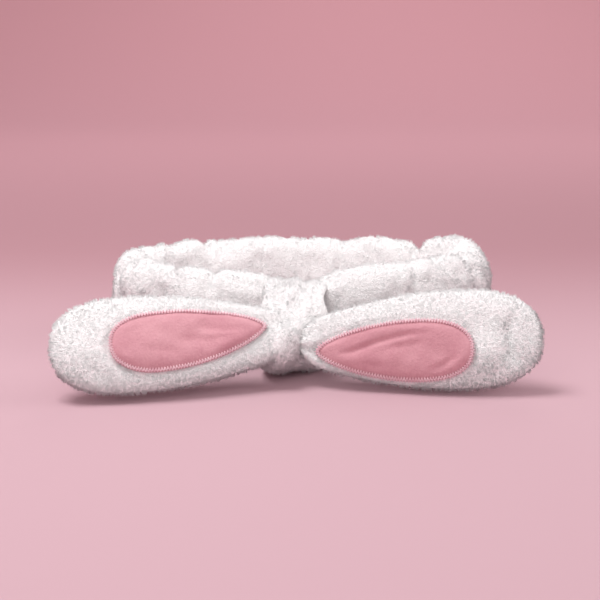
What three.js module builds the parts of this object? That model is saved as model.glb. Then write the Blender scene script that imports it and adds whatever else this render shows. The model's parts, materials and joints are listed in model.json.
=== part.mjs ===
// Plush spa headband with two floppy ears, in millimetres, +Z up.
// It lies on the lower edge of its band: the ring is in the XY plane, the ears lie in front of it (-Y).
// The ring is a gathered fleece tube over a flat elastic. A fleece loop, the knot, is wound round its
// front, and the two stuffed ears are sewn to that knot by their roots.
import * as THREE from 'three';

// ---------- driving dimensions ----------

const ring = {
  halfWidth: 96, // of the tube's centre line, along X
  halfDepth: 45, // of the tube's centre line, along Y
  lobePush: 8, // the rear right corner bulges outwards by this much
  lobeAt: THREE.MathUtils.degToRad(27),
  lobeSpread: THREE.MathUtils.degToRad(25),
  stepsPerHalf: 26,
};
const tube = {
  thickness: 27, // gathered fleece, across the band
  height: 50, // along Z, before the lower edge is flattened
  flattened: 1, // taken off the lower edge, where the band stands
  squareness: 2.5, // exponent of the section's superellipse
  wall: 4.5,
  sides: 20,
};
const cinch = { height: 0.36, thickness: 0.16, drop: 1.5, reach: 24 }; // how the knot squeezes the tube
const elastic = {
  thickness: 1.6,
  height: 20,
  sideReach: THREE.MathUtils.degToRad(24),
  fill: 0.93, // the most of the hollow's height that it may take
};
const knot = { centreX: -2.5, width: 30, wall: 4.5, frontRoom: 19, corner: 9, sides: 28 };
const coreInset = 2.5; // how much the gathered core is narrower and lower than the knot, at each side
const coreRounding = 2.5; // taken off the core's ends all round
const seam = { thickness: 1.2, height: 26, width: 4 };
const joinStitch = { thickness: 1, width: 9, height: 16 };

const ear = {
  length: 125,
  halfWidth: 26.5, // at its widest
  neckHalfWidth: 11,
  widestAt: 83, // measured from the root's round end
  rootRound: 14, // length over which the root's end is rounded
  halfThickness: 9.5,
  rootLength: 7.6, // where the sewn-down root ends and the free blade begins
  tipSquareness: 2.5,
  crownPower: 2.2,
  panel: 3, // fleece with its pile
  rim: 2.5, // the same, squeezed at the edge seam
  besideKnot: 36, // the length that swings in front of the knot as the ear is lifted
};
const patch = {
  length: 79,
  halfWidth: 15.8,
  roundLength: 27, // of its broad end
  squareness: 2.4,
  taper: 1.7,
  thickness: 1,
};
const stitching = { radius: 0.6, outside: 0.9, sides: 6, steps: 26 };
const wadding = { inset: 3.2, fromRoot: 3, fromTip: 7.5 };

const gap = 0.3; // between pieces that touch
const knotEase = 0.3; // more room for the tube, which widens towards the knot's edges
const elasticEase = 0.25; // and for the elastic, which is straight where the tube's wall curves
const waddingEase = 0.25; // and for the wadding, inside the crowned panels
const softGap = 0.35; // under the patch and its stitching

// Each ear: which side it points to, where its root's round end is (along X, and above the tube's middle),
// how it lies, and where its patch sits: its point's distance from the root's round end, and its shift
// across the ear.
const ears = [
  {
    name: 'left', side: -1, rootX: -4, rootRise: 3, lift: -0.7, forward: 12, lean: 36,
    patchStart: 15, patchShift: -1.4,
  },
  {
    name: 'right', side: 1, rootX: 0, rootRise: -2.4, lift: 3.2, forward: 6, lean: 25,
    patchStart: 9.8, patchShift: -6.2,
  },
];

// ---------- finishes ----------

const fleeceWhite = { color: '#f6f3f2', roughness: 0.95, metalness: 0 };
const velourPink = { color: '#d98b98', roughness: 0.85, metalness: 0 };
const threadPink = { color: '#cf7587', roughness: 0.7, metalness: 0 };
const elasticWhite = { color: '#eceae6', roughness: 0.8, metalness: 0 };
const waddingWhite = { color: '#fbfbf8', roughness: 1, metalness: 0 };

const headband = new THREE.Group();

function add(name, geometry, finish, parent = headband) {
  const mesh = new THREE.Mesh(geometry, new THREE.MeshStandardMaterial(finish));
  mesh.name = name;
  parent.add(mesh);
  return mesh;
}

// ---------- closed solids skinned over cross-sections ----------

function signedVolume(points, faces) {
  let sum = 0;
  for (const [a, b, c] of faces) {
    sum += points[a].dot(new THREE.Vector3().crossVectors(points[b], points[c]));
  }
  return sum / 6;
}

function solid(points, faces) {
  const outward = signedVolume(points, faces) > 0;
  const geometry = new THREE.BufferGeometry().setFromPoints(points);
  geometry.setIndex(faces.flatMap(([a, b, c]) => (outward ? [a, b, c] : [a, c, b])));
  geometry.computeVertexNormals();
  return geometry;
}

// Faces between two closed rows of n points that start at a and at b.
function band(a, b, n) {
  const faces = [];
  for (let j = 0; j < n; j++) {
    const k = (j + 1) % n;
    faces.push([a + j, a + k, b + k], [a + j, b + k, b + j]);
  }
  return faces;
}

// Skins rows of n points. The open ends are closed straight across, from point j to point n - 1 - j,
// which suits a lens, a crescent and an oval alike. A round run joins its last row to its first.
function loft(rows, round = false) {
  const n = rows[0].length;
  const last = rows.length - 1;
  const faces = [];
  for (let i = 0; i < last; i++) faces.push(...band(i * n, (i + 1) * n, n));
  if (round) {
    faces.push(...band(last * n, 0, n));
    return solid(rows.flat(), faces);
  }
  for (let j = 0; j < n / 2 - 1; j++) {
    const quad = [j, j + 1, n - 2 - j, n - 1 - j];
    const end = quad.map((q) => last * n + q);
    faces.push([quad[0], quad[2], quad[1]], [quad[0], quad[3], quad[2]]);
    faces.push([end[0], end[1], end[2]], [end[0], end[2], end[3]]);
  }
  return solid(rows.flat(), faces);
}

// A tube with a hollow that is open at both ends.
function hollowLoft(outerRows, innerRows) {
  const n = outerRows[0].length;
  const last = outerRows.length - 1;
  const inner = outerRows.length * n;
  const faces = [];
  for (let i = 0; i < last; i++) {
    faces.push(...band(i * n, (i + 1) * n, n));
    faces.push(...band(inner + (i + 1) * n, inner + i * n, n));
  }
  faces.push(...band(inner, 0, n), ...band(last * n, inner + last * n, n));
  return solid([...outerRows.flat(), ...innerRows.flat()], faces);
}

// ---------- the band ----------

const sectionZ = tube.height / 2 - tube.flattened;

function superellipse(angle, halfWide, halfHigh, power) {
  const c = Math.cos(angle);
  const s = Math.sin(angle);
  const wide = Math.sign(c) * Math.abs(c) ** (2 / power) * halfWide;
  const high = Math.sign(s) * Math.abs(s) ** (2 / power) * halfHigh;
  return [wide, high];
}

// 1 under the knot, 0 away from it, on the front run only.
function squeezed(point) {
  return point.y < 0 ? 1 / (1 + ((point.x - knot.centreX) / cinch.reach) ** 4) : 0;
}

// The tube's centre line: an oval with one corner pushed out, drawn down a little by the knot.
function ringPoint(t) {
  const away = t - ring.lobeAt;
  const fromLobe = Math.atan2(Math.sin(away), Math.cos(away));
  const push = ring.lobePush * Math.exp(-((fromLobe / ring.lobeSpread) ** 2));
  const point = new THREE.Vector3(
    Math.cos(t) * (ring.halfWidth + push),
    Math.sin(t) * (ring.halfDepth + push),
    sectionZ,
  );
  point.z -= cinch.drop * squeezed(point);
  return point;
}

function ringOutward(t) {
  const step = 0.001;
  const along = ringPoint(t + step).sub(ringPoint(t - step));
  return new THREE.Vector3(along.y, -along.x, 0).normalize();
}


function tubeSize(t) {
  const share = squeezed(ringPoint(t));
  return {
    thick: (tube.thickness / 2) * (1 - cinch.thickness * share),
    high: (tube.height / 2) * (1 - cinch.height * share),
  };
}

// One cross-section of the tube. The part under the flattened edge is cut off level.
function tubeSection(t, inset, shift = 0) {
  const centre = ringPoint(t);
  const outward = ringOutward(t);
  const size = tubeSize(t);
  const points = [];
  for (let j = 0; j < tube.sides; j++) {
    const angle = ((j + 0.5) / tube.sides) * 2 * Math.PI;
    const [wide, high] = superellipse(
      angle, size.thick - inset, size.high - inset, tube.squareness,
    );
    const floor = inset - centre.z;
    points.push(new THREE.Vector3(
      centre.x + outward.x * wide - outward.y * shift,
      centre.y + outward.y * wide + outward.x * shift,
      centre.z + Math.max(high, floor),
    ));
  }
  return points;
}

function runAngles(from, to, steps) {
  return Array.from({ length: steps + 1 }, (_, i) => from + ((to - from) * i) / steps);
}

// Half of the casing. Its two ends stop short of the other half by half the gap.
function casing(from, to) {
  const angles = runAngles(from, to, ring.stepsPerHalf);
  const shiftAt = (i) => (i === 0 ? gap / 2 : 0) - (i === angles.length - 1 ? gap / 2 : 0);
  return hollowLoft(
    angles.map((t, i) => tubeSection(t, 0, shiftAt(i))),
    angles.map((t, i) => tubeSection(t, tube.wall, shiftAt(i))),
  );
}

// Half the elastic's height: it narrows where the hollow is too low for it.
function elasticHalfHigh(t) {
  return Math.min(elastic.height / 2, (tubeSize(t).high - tube.wall) * elastic.fill);
}

// A flat strip of elastic that lies against the hollow's wall on the wearer's side. The wall curves away
// above and below, so the strip is set off it where its own edges would meet it.
function elasticOffset(t) {
  const size = tubeSize(t);
  const rise = elasticHalfHigh(t) / (size.high - tube.wall);
  const reach = (1 - rise ** tube.squareness) ** (1 / tube.squareness);
  return -(size.thick - tube.wall) * reach + gap + elasticEase;
}

function elasticStrip(from, to, steps) {
  const rows = runAngles(from, to, steps).map((t) => {
    const near = elasticOffset(t);
    return [
      [near, -1], [near, 1], [near + elastic.thickness, 1], [near + elastic.thickness, -1],
    ].map(([out, up]) => ringPoint(t)
      .addScaledVector(ringOutward(t), out)
      .add(new THREE.Vector3(0, 0, up * elasticHalfHigh(t))));
  });
  return loft(rows);
}

const half = Math.PI;
const stripEnd = elastic.sideReach;
const stripGap = gap / ring.halfDepth;
add('rear_casing', casing(0, half), fleeceWhite);
add('front_casing', casing(half, 2 * half), fleeceWhite);
add('rear_elastic', elasticStrip(stripEnd, half - stripEnd, 20), elasticWhite);
add('front_elastic', elasticStrip(half + stripEnd, 2 * half - stripEnd, 20), elasticWhite);
const sideStart = -stripEnd + stripGap;
const sideEnd = stripEnd - stripGap;
add('right_side_elastic', elasticStrip(sideStart, sideEnd, 8), elasticWhite);
add('left_side_elastic', elasticStrip(half + sideStart, half + sideEnd, 8), elasticWhite);

// The elastic's two ends lap at the rear and are sewn through.
const lapAt = Math.PI / 2;
const lapY = ringPoint(lapAt).y + elasticOffset(lapAt) + elastic.thickness;
const joinBox = new THREE.BoxGeometry(joinStitch.width, joinStitch.thickness, joinStitch.height);
add('elastic_join_stitch', joinBox, threadPink)
  .position.set(ringPoint(lapAt).x, lapY + joinStitch.thickness / 2 + gap, sectionZ);

// ---------- the knot ----------

// The loop's hollow takes the squeezed tube, and in front of it the ears' gathered ends.
const knotEdge = knot.width / 2;
const edgeReach = knotEdge + Math.abs(knot.centreX);
const edgeAngle = 1.5 * Math.PI - Math.asin(edgeReach / ring.halfWidth);
const tubeAtKnot = tubeSize(edgeAngle);
const frontPoint = ringPoint(1.5 * Math.PI);
const frontY = frontPoint.y;
const edgeRise = ringPoint(edgeAngle).z - frontPoint.z;
const hollow = {
  rear: ringPoint(edgeAngle).y + tubeAtKnot.thick + gap + knotEase,
  front: frontY - tubeAtKnot.thick - knot.frontRoom,
  halfHigh: tubeAtKnot.high + edgeRise + gap + knotEase,
  centreZ: frontPoint.z,
};
hollow.centreY = (hollow.rear + hollow.front) / 2;
hollow.halfDeep = (hollow.rear - hollow.front) / 2;

// A rounded rectangle in the YZ plane, as a row of points.
function roundedRow(x, centreY, halfDeep, halfHigh, corner) {
  const shape = new THREE.Shape();
  shape.moveTo(halfDeep - corner, -halfHigh);
  shape.absarc(halfDeep - corner, corner - halfHigh, corner, -Math.PI / 2, 0);
  shape.absarc(halfDeep - corner, halfHigh - corner, corner, 0, Math.PI / 2);
  shape.absarc(corner - halfDeep, halfHigh - corner, corner, Math.PI / 2, Math.PI);
  shape.absarc(corner - halfDeep, corner - halfHigh, corner, Math.PI, 1.5 * Math.PI);
  shape.closePath();
  return shape.getSpacedPoints(knot.sides).slice(0, knot.sides)
    .map((p) => new THREE.Vector3(x, centreY + p.x, hollow.centreZ + p.y));
}

// The hollow's outline, grown by a margin.
function knotRow(x, margin) {
  const corner = knot.corner + margin - knot.wall / 2;
  return roundedRow(
    x, hollow.centreY, hollow.halfDeep + margin, hollow.halfHigh + margin, corner,
  );
}

// The loop's wall bellies out in the middle of its width.
function knotWrap() {
  const stations = [-1, -0.8, 0, 0.8, 1];
  const xAt = (s) => knot.centreX + s * knotEdge;
  const wallAt = (s) => knot.wall * (Math.abs(s) === 1 ? 0.6 : 1);
  return hollowLoft(
    stations.map((s) => knotRow(xAt(s), wallAt(s))),
    stations.map((s) => knotRow(xAt(s), 0)),
  );
}

// The ears' gathered ends fill the hollow in front of the tube.
function knotCore() {
  const rear = frontY - tubeAtKnot.thick - gap;
  const front = hollow.front + gap;
  const rows = [-1, -0.75, 0.75, 1].map((s) => {
    const slimmer = Math.abs(s) === 1 ? coreRounding : 0;
    return roundedRow(
      knot.centreX + s * (knotEdge - coreInset), (rear + front) / 2,
      (rear - front) / 2 - slimmer, hollow.halfHigh - coreInset - slimmer, knot.corner - 1,
    );
  });
  return loft(rows);
}

function knotSeam() {
  const strip = new THREE.BoxGeometry(seam.width, seam.thickness, seam.height);
  const y = hollow.rear + knot.wall + gap + seam.thickness / 2;
  return strip.translate(knot.centreX, y, hollow.centreZ);
}

add('knot_wrap', knotWrap(), fleeceWhite);
add('knot_core', knotCore(), fleeceWhite);
add('knot_seam', knotSeam(), threadPink);
const knotFrontY = hollow.front - knot.wall;

// ---------- the ears ----------
// u runs from the root's round end to the tip, w across the ear, n out of its front face.

function roundedOff(share, power) {
  return Math.max(0, 1 - Math.min(1, Math.abs(share)) ** power) ** (1 / power);
}

function earHalfWidth(u) {
  const { widestAt, neckHalfWidth, halfWidth, length, tipSquareness, rootRound } = ear;
  if (u >= widestAt) {
    return halfWidth * roundedOff((u - widestAt) / (length - widestAt), tipSquareness);
  }
  const swell = Math.sin((u / widestAt) * (Math.PI / 2));
  const rounding = u < rootRound ? roundedOff(1 - u / rootRound, tipSquareness) : 1;
  return (neckHalfWidth + (halfWidth - neckHalfWidth) * swell) * rounding;
}

function earHalfThickness(u) {
  return ear.halfThickness * (earHalfWidth(u) / ear.halfWidth) ** 0.6;
}

function crown(u, w) {
  const share = Math.min(1, Math.abs(w) / earHalfWidth(u));
  return Math.sqrt(1 - share ** ear.crownPower);
}

function panelOuter(u, w) {
  return gap / 2 + ear.rim + (earHalfThickness(u) - gap / 2 - ear.rim) * crown(u, w);
}

function panelInner(u, w) {
  return panelOuter(u, w) - ear.rim - (ear.panel - ear.rim) * crown(u, w);
}

// Points across the ear, closer together at its two edges.
function sweep(halfWide, across, shift = 0) {
  return Array.from({ length: across + 1 }, (_, j) => {
    return shift - halfWide * Math.cos((Math.PI * j) / across);
  });
}

// A row round a lens or crescent at u: along the outer side, and back along the inner side.
function earRow(side, u, halfWide, outer, inner, across = 12, shift = 0) {
  const widths = sweep(halfWide, across, shift);
  const point = (w, n) => new THREE.Vector3(side * u, -n, w);
  return [
    ...widths.map((w) => point(w, outer(u, w))),
    ...widths.reverse().map((w) => point(w, inner(u, w))),
  ];
}

const rootAcross = 10;
const rootShares = [0.04, 0.2, 0.45, 0.75, 1]; // its cross-sections, as shares of its length

// Stations along the ear, closer together towards the round tip.
function stations(from, to, straight, rounded) {
  const bend = Math.min(ear.widestAt, to - 1);
  const first = Array.from({ length: straight }, (_, i) => from + ((bend - from) * i) / straight);
  const second = Array.from({ length: rounded + 1 }, (_, i) => {
    return bend + (to - bend) * Math.sin((Math.PI / 2) * (i / rounded));
  });
  return [...first, ...second];
}

const bladeStart = ear.rootLength + gap;
const tipShare = 0.996; // the last cross-section, just short of the tip

function earPanel(side, facing) {
  const end = ear.widestAt + (ear.length - ear.widestAt) * tipShare;
  const rows = stations(bladeStart, end, 7, 7).map((u) => earRow(
    side, u, earHalfWidth(u),
    (a, w) => facing * panelOuter(a, w),
    (a, w) => facing * panelInner(a, w),
  ));
  return loft(rows);
}

function earWadding(side) {
  const rows = stations(bladeStart + wadding.fromRoot, ear.length - wadding.fromTip, 6, 5)
    .map((u) => earRow(
      side, u, earHalfWidth(u) - wadding.inset,
      (a, w) => panelInner(a, w) - gap - waddingEase,
      (a, w) => gap + waddingEase - panelInner(a, w),
      8,
    ));
  return loft(rows);
}

// How far a leaning ear reaches back towards the knot, from its root's round end to the length given.
function backReach(lean, forward, length) {
  const steps = 18;
  const reaches = Array.from({ length: steps }, (_, i) => {
    const u = (length * (i + 1)) / steps;
    return sweep(earHalfWidth(u), rootAcross).map((w) => {
      return w * Math.sin(lean) + panelOuter(u, w) * Math.cos(lean) - u * Math.sin(forward);
    });
  });
  return Math.max(...reaches.flat());
}

// The root is one gathered bundle. It is padded at the back, out to its seat on the knot.
function earRoot(side, padding) {
  const rows = rootShares.map((share) => {
    const u = share * ear.rootLength;
    const back = (a, w) => -panelOuter(a, w) - padding;
    return earRow(side, u, earHalfWidth(u), panelOuter, back, rootAcross);
  });
  return loft(rows);
}

// Half-width of the patch at s, measured from its point: a long taper and a broad round end.
function patchHalfWidth(s) {
  const taperLength = patch.length - patch.roundLength;
  if (s > taperLength) {
    return patch.halfWidth * roundedOff((s - taperLength) / patch.roundLength, patch.squareness);
  }
  return patch.halfWidth * (1 - (1 - s / taperLength) ** patch.taper);
}

function patchStations(count) {
  return Array.from({ length: count + 1 }, (_, i) => {
    return patch.length * (0.5 - 0.5 * Math.cos(Math.PI * (0.06 + (0.91 * i) / count)));
  });
}

function earPatch(side, start, shift) {
  const rows = patchStations(14).map((s) => earRow(
    side, start + s, patchHalfWidth(s),
    (u, w) => panelOuter(u, w) + softGap + patch.thickness,
    (u, w) => panelOuter(u, w) + softGap,
    10, shift,
  ));
  return loft(rows);
}

// A thread ring that runs round the patch just outside its edge, lying on the fleece.
function patchStitching(side, start, shift) {
  const outset = stitching.outside + stitching.radius;
  const nudge = 0.01;
  const upper = patchStations(stitching.steps).map((s) => {
    const rise = (patchHalfWidth(s + nudge) - patchHalfWidth(s - nudge)) / (2 * nudge);
    const outward = new THREE.Vector2(-rise, 1).setLength(outset);
    return outward.add(new THREE.Vector2(s, patchHalfWidth(s)));
  });
  const lower = [...upper].reverse().map((p) => new THREE.Vector2(p.x, -p.y));
  const broadEnd = new THREE.Vector2(patch.length + outset, 0);
  const point = new THREE.Vector2(-outset, 0);
  const path = [...upper, broadEnd, ...lower, point].map((p) => {
    const u = start + p.x;
    const w = p.y + shift;
    return new THREE.Vector3(side * u, -panelOuter(u, w) - softGap - stitching.radius, w);
  });
  const facing = new THREE.Vector3(0, -1, 0);
  const rows = path.map((p, i) => {
    const next = path[(i + 1) % path.length];
    const before = path[(i + path.length - 1) % path.length];
    const along = next.clone().sub(before).normalize();
    const across = new THREE.Vector3().crossVectors(along, facing).normalize();
    const up = new THREE.Vector3().crossVectors(across, along);
    return Array.from({ length: stitching.sides }, (_, k) => {
      const angle = (k / stitching.sides) * 2 * Math.PI;
      return p.clone()
        .addScaledVector(across, Math.cos(angle) * stitching.radius)
        .addScaledVector(up, Math.sin(angle) * stitching.radius);
    });
  });
  return loft(rows, true);
}

for (const { name, side, rootX, rootRise, lift, forward, lean, patchStart, patchShift } of ears) {
  const [leanAngle, liftAngle, forwardAngle] = [lean, lift, forward].map(THREE.MathUtils.degToRad);
  const reach = backReach(leanAngle, forwardAngle, ear.besideKnot);
  const ownReach = backReach(leanAngle, forwardAngle, ear.rootLength);
  const padding = (reach - ownReach) / Math.cos(leanAngle);
  const place = new THREE.Group();
  place.position.set(rootX, knotFrontY - gap - reach, sectionZ + rootRise);
  place.rotation.set(-leanAngle, -side * liftAngle, -side * forwardAngle, 'ZYX');
  headband.add(place);
  add(`${name}_ear_root`, earRoot(side, padding), fleeceWhite, place);
  add(`${name}_ear_front_panel`, earPanel(side, 1), fleeceWhite, place);
  add(`${name}_ear_back_panel`, earPanel(side, -1), fleeceWhite, place);
  add(`${name}_ear_wadding`, earWadding(side), waddingWhite, place);
  add(`${name}_ear_patch`, earPatch(side, patchStart, patchShift), velourPink, place);
  add(`${name}_ear_patch_stitching`, patchStitching(side, patchStart, patchShift), threadPink, place);
}

// The origin is the middle of the whole part's box, on the surface it stands on.
const box = new THREE.Box3().setFromObject(headband, true);
const middle = box.getCenter(new THREE.Vector3());
headband.position.set(-middle.x, -middle.y, -box.min.z);

export default headband;
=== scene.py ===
# %% [markdown]
# # A plush spa headband with two soft ears
# The real thing is sewn from coral fleece: a ruched tube over a ring of elastic, a loop of fleece gathered
# into a knot at the front, and two stuffed ears, each with a patch of pink velour zigzagged to its face.
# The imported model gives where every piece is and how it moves. This script makes the cloth itself.
# All lengths are in metres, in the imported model's own frame.

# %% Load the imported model
import json
import math

import bpy
import numpy as np
from mathutils import Matrix, Vector
from mathutils.kdtree import KDTree


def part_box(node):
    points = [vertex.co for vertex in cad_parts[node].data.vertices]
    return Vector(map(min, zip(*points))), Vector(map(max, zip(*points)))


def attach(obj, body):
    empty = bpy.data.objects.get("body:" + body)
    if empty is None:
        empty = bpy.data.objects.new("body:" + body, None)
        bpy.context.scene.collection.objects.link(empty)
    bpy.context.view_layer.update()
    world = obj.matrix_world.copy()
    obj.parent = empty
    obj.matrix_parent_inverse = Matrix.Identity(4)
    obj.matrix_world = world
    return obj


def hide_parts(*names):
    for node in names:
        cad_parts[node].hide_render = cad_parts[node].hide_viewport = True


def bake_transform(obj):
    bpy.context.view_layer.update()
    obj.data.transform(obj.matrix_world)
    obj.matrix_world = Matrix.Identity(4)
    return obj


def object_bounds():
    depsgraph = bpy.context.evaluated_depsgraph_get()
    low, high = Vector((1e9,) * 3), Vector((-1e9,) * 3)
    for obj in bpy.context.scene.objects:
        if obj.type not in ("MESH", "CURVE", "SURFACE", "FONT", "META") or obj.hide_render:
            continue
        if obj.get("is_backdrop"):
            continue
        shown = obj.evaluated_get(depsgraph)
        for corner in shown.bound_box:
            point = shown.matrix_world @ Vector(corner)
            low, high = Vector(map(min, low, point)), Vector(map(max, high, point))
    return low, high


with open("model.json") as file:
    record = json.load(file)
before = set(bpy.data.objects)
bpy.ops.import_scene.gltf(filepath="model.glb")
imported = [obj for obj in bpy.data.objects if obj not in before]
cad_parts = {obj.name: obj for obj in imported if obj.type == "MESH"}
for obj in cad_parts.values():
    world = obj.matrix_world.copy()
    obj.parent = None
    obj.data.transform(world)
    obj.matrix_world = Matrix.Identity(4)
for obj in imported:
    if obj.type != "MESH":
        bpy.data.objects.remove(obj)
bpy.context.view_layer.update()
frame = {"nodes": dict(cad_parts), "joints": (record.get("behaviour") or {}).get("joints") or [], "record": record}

MM = 0.001
TINY = 1e-12  # keeps a division by a length of nothing from failing


def in_mm(place):
    """A place for printing."""
    return [round(value / MM, 1) for value in place]


# %% [markdown]
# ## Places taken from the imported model
# The head mount is the middle of the opening, and the ring of the band is drawn round it. Each ear's lift
# hinge tells how far forward the ear starts. Its height and its lean are given again where it is made.

# %% Places
mounts = {mount["name"]: mount for mount in frame["record"]["mounts"]}
joints = {joint["name"]: joint for joint in frame["joints"]}
ring_centre = Vector(mounts["head"]["pos_m"])
knot_low, knot_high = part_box("knot_wrap")
knot_middle = (knot_low + knot_high) / 2
print("ring centre", in_mm(ring_centre), "knot from", in_mm(knot_low), "to", in_mm(knot_high))

# %% [markdown]
# ## The camera, the floor and the light
# The camera looks a little down on the band from the front, from about arm's length. The floor is a sheet of paper
# that sweeps up into a wall with no corner, so that nothing but the object casts a line. Its pink is painted
# darkest a little way behind the band, as painted shade. It tints the undersides of the white pile. Four soft
# lamps light the object: the strongest hangs above it, a little to the left, a wide one fills the front, and two
# weaker ones graze it from the right and from behind. A pale pink world gives the rest.

# %% Camera
CAMERA_TILT = math.radians(16)
CAMERA_AWAY = 0.8
LENS_MM = 81.6
SENSOR_MM = 36
SHIFT_UP = 0.06
camera_data = bpy.data.cameras.new("camera")
camera_data.lens = LENS_MM
camera_data.sensor_width = SENSOR_MM
camera_data.shift_y = SHIFT_UP
camera = bpy.data.objects.new("camera", camera_data)
bpy.context.scene.collection.objects.link(camera)
aim = Vector((ring_centre.x, ring_centre.y, 0))
camera.location = aim + CAMERA_AWAY * Vector((0, -math.cos(CAMERA_TILT), math.sin(CAMERA_TILT)))
camera.rotation_euler = (math.pi / 2 - CAMERA_TILT, 0, 0)
bpy.context.scene.camera = camera
print("camera at", in_mm(camera.location))


# %% A mesh from rows of points
def new_mesh(name, points, faces, material):
    """A smooth mesh object with one material. Points are rows of x, y, z."""
    mesh = bpy.data.meshes.new(name)
    mesh.from_pydata(np.asarray(points, float).tolist(), [], [[int(v) for v in face] for face in faces])
    mesh.polygons.foreach_set("use_smooth", [True] * len(mesh.polygons))
    mesh.materials.append(material)
    piece = bpy.data.objects.new(name, mesh)
    bpy.context.scene.collection.objects.link(piece)
    return piece


# %% The paper, with painted shade behind the band
PAPER_ROUGHNESS = 0.9
# The pink is darkest a little way behind the band, and that stop is painted shade.
PAPER_SHADE_STOPS = (
    (-0.06, (0.522, 0.338, 0.38)),
    (0.30, (0.385, 0.203, 0.232)),
    (0.95, (0.54, 0.29, 0.33)),
    (1.5, (0.57, 0.292, 0.328)),
)


def paper_with_painted_shade(stops):
    """Paper whose pink changes from front to back, with painted shade behind the band. Each stop has its distance
    to the back, and its pink.
    """
    paper = bpy.data.materials.new("pink_paper")
    paper.use_nodes = True
    tree = paper.node_tree
    shader = tree.nodes["Principled BSDF"]
    shader.inputs["Roughness"].default_value = PAPER_ROUGHNESS
    place = tree.nodes.new("ShaderNodeTexCoord")
    parts = tree.nodes.new("ShaderNodeSeparateXYZ")
    tree.links.new(place.outputs["Object"], parts.inputs[0])
    share = tree.nodes.new("ShaderNodeMapRange")
    nearest, farthest = stops[0][0], stops[-1][0]
    share.inputs["From Min"].default_value = nearest
    share.inputs["From Max"].default_value = farthest
    tree.links.new(parts.outputs["Y"], share.inputs["Value"])
    ramp = tree.nodes.new("ShaderNodeValToRGB")
    ramp.color_ramp.interpolation = "EASE"
    while len(ramp.color_ramp.elements) < len(stops):
        ramp.color_ramp.elements.new(0.5)
    for element, (distance, colour) in zip(ramp.color_ramp.elements, stops):
        element.position = (distance - nearest) / (farthest - nearest)
        element.color = (*colour, 1)
    tree.links.new(share.outputs["Result"], ramp.inputs["Fac"])
    tree.links.new(ramp.outputs["Color"], shader.inputs["Base Color"])
    return paper


# %% The floor, from its profile: flat, then a quarter round, then a wall
FLOOR_HALF_WIDTH = 3.0
FLOOR_FRONT = -2.0
SWEEP_START = 1.0
SWEEP_RADIUS = 0.8
WALL_HIGH = 3.0
floor_profile = [(FLOOR_FRONT, 0.0), (SWEEP_START, 0.0)]
for angle in np.linspace(0.1, math.pi / 2, 14):
    away = SWEEP_START + SWEEP_RADIUS * math.sin(angle)
    floor_profile.append((away, SWEEP_RADIUS - SWEEP_RADIUS * math.cos(angle)))
floor_profile.append((SWEEP_START + SWEEP_RADIUS, WALL_HIGH))
floor_points = [(side * FLOOR_HALF_WIDTH, y, z) for y, z in floor_profile for side in (-1, 1)]
floor_faces = [(2 * i, 2 * i + 1, 2 * i + 3, 2 * i + 2) for i in range(len(floor_profile) - 1)]
floor = new_mesh("floor", floor_points, floor_faces, paper_with_painted_shade(PAPER_SHADE_STOPS))
floor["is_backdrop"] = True
print("floor with", len(floor_faces), "faces")


# %% Lamps and world
def soft_lamp(name, place, size, power, colour=(1, 1, 1)):
    """A square lamp that faces the middle of the band."""
    data = bpy.data.lights.new(name, "AREA")
    data.size = size
    data.energy = power
    data.color = colour
    lamp = bpy.data.objects.new(name, data)
    bpy.context.scene.collection.objects.link(lamp)
    lamp.location = place
    lamp.rotation_euler = (aim - Vector(place)).to_track_quat("-Z", "Y").to_euler()


FILL_TINT = (1.0, 0.95, 0.955)
WORLD_TINT = (1.0, 0.89, 0.91)
WORLD_STRENGTH = 0.5
soft_lamp("key", (-0.45, 0.02, 1.25), 0.6, 14)
soft_lamp("fill", (-0.3, -1.3, 0.9), 1.2, 6.5, FILL_TINT)
soft_lamp("rim", (1.2, 0.1, 0.6), 0.8, 5.0)
soft_lamp("back", (0.3, 1.3, 0.9), 1.0, 4.0)
world = bpy.data.worlds.new("studio")
bpy.context.scene.world = world
world.use_nodes = True
sky = world.node_tree.nodes["Background"]
sky.inputs["Color"].default_value = (*WORLD_TINT, 1)
sky.inputs["Strength"].default_value = WORLD_STRENGTH
bpy.context.scene.view_settings.view_transform = "Standard"  # whites stay white
print(len(bpy.data.lights), "lamps and a world")


# %% [markdown]
# ## Finishes
# Every cloth here varies in the same two ways: its colour is a little blotchy, where the nap lies this way
# or that, and its surface has a fine nap. Each is a node group, built once, that gives only a colour or a
# height. The shader stays in the material, with its plain numbers set on its own sockets. Loose fibres catch
# the light at a cloth's edge, and the shader's sheen stands for them.

# %% Node group helpers
def new_group(name, inputs, outputs):
    """A shader node group with named sockets: inputs is {name: default}, outputs is {name: kind}."""
    group = bpy.data.node_groups.new(name, "ShaderNodeTree")
    for socket_name, value in inputs.items():
        kind = "NodeSocketColor" if isinstance(value, tuple) else "NodeSocketFloat"
        socket = group.interface.new_socket(socket_name, in_out="INPUT", socket_type=kind)
        socket.default_value = (*value, 1) if isinstance(value, tuple) else value
    for socket_name, kind in outputs.items():
        group.interface.new_socket(socket_name, in_out="OUTPUT", socket_type=kind)
    return group, group.nodes.new("NodeGroupInput"), group.nodes.new("NodeGroupOutput")


NOISE_ROUGHNESS = 0.55


def noise_node(tree, scale_socket, detail):
    """Noise over the object's own coordinates, with its scale from a socket."""
    node = tree.nodes.new("ShaderNodeTexNoise")
    node.inputs["Detail"].default_value = detail
    node.inputs["Roughness"].default_value = NOISE_ROUGHNESS
    tree.links.new(scale_socket, node.inputs["Scale"])
    coordinates = tree.nodes.new("ShaderNodeTexCoord")
    tree.links.new(coordinates.outputs["Object"], node.inputs["Vector"])
    return node


# %% Blotch: a colour that drifts between two
BROAD_SHARE = 0.6  # of the drift is broad, and the rest is fine
BLOTCH_LOW, BLOTCH_HIGH = 0.35, 0.65  # the noise that gives all dark and all light


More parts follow.
